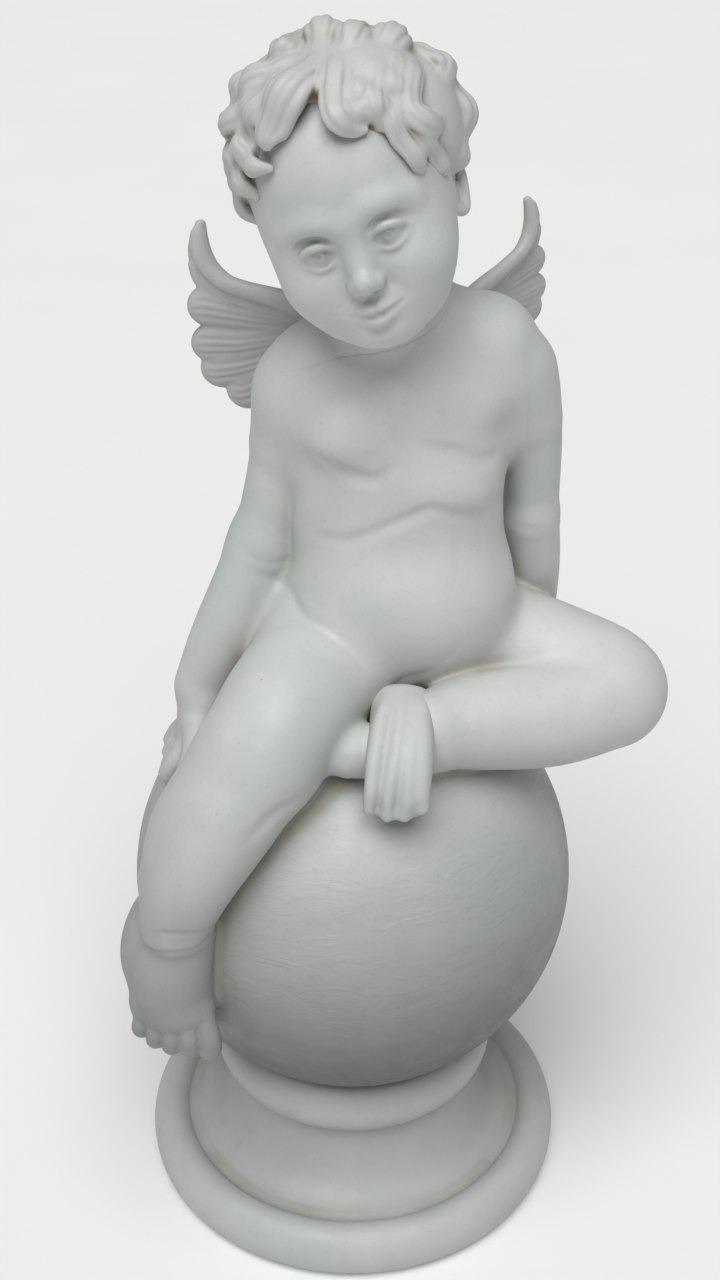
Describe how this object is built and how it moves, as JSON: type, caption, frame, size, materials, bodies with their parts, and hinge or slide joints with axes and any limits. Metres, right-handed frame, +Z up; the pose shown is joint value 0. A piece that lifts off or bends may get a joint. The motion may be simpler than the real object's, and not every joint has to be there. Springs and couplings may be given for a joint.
{
  "type": "cherub statue",
  "caption": "Plaster cherub with short wings seated on a ball, one leg hanging and one folded, above a round turned plinth.",
  "frame": {"origin": "centre of the plinth's flat underside", "axes": "+Z up through the ball, -Y the way the figure faces, +X to the figure's left"},
  "size_m": [0.262, 0.2268, 0.599],
  "materials": {
    "figure_plaster": "matt painted plaster, slightly stained in its hollows",
    "plinth_plaster": "matt painted plaster"
  },
  "bodies": {
    "root": {"cherub_on_ball": "figure_plaster", "turned_plinth": "plinth_plaster"}
  },
  "joints": []
}
